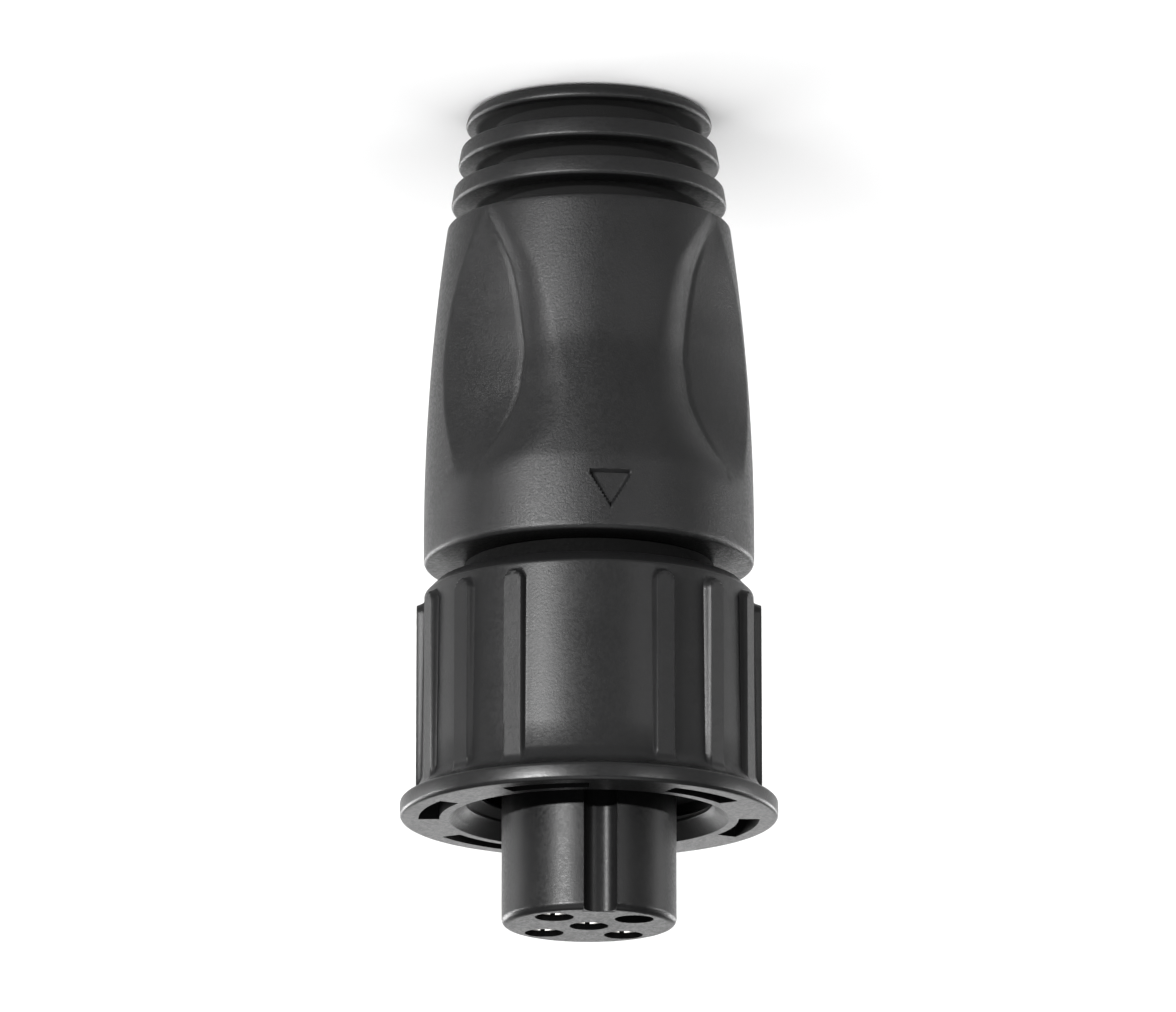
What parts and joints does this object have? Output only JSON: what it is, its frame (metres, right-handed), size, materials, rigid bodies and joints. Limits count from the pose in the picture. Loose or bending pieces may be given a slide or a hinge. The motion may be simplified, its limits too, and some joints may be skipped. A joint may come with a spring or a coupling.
{
  "type": "network terminator plug",
  "caption": "Round moulded bus terminator plug with a grooved, scooped grip, a captive ribbed coupling nut and a keyed socket insert.",
  "frame": {"origin": "centre of the closed rear end face, which the plug stands on", "axes": "+Z along the plug from the closed rear end to the mating face, -Y towards the keyway and the triangle mark on the grip, +X to the right seen from -Y"},
  "size_m": [0.0184, 0.0184, 0.0409],
  "materials": {
    "grip_soft_plastic": "fine grained, semi-matte black",
    "inner_mould_plastic": "smooth black",
    "insert_plastic": "smooth satin black",
    "nut_plastic": "satin black, lightly grained",
    "plated_contact": "thin bright plating on turned brass",
    "seal_rubber": "smooth black rubber",
    "ceramic": "fired ceramic with a thin resistive film",
    "cap_steel": "pressed, tinned",
    "resistor_lacquer": "dipped lacquer",
    "tinned_wire": "tinned",
    "sleeve_plastic": "extruded tube",
    "solder": "soft solder"
  },
  "bodies": {
    "plug": {"grip_overmould": "grip_soft_plastic", "inner_mould": "inner_mould_plastic", "contact_carrier": "insert_plastic", "socket_contact_centre": "plated_contact", "socket_contact_left": "plated_contact", "socket_contact_far_left": "plated_contact", "socket_contact_far_right": "plated_contact", "sealing_ring": "seal_rubber", "resistor_core": "ceramic", "resistor_cap_rear": "cap_steel", "resistor_cap_front": "cap_steel", "resistor_lacquer": "resistor_lacquer", "resistor_lead_short": "tinned_wire", "resistor_lead_long": "tinned_wire", "lead_sleeve": "sleeve_plastic", "solder_joint_centre": "solder", "solder_joint_outer": "solder"},
    "nut": {"coupling_nut": "nut_plastic"}
  },
  "joints": [
    {"name": "coupling_nut_spin", "type": "hinge", "parent": "plug", "child": "nut", "pos_m": [0, 0, 0.02485], "axis": [0, 0, 1], "continuous": true}
  ]
}
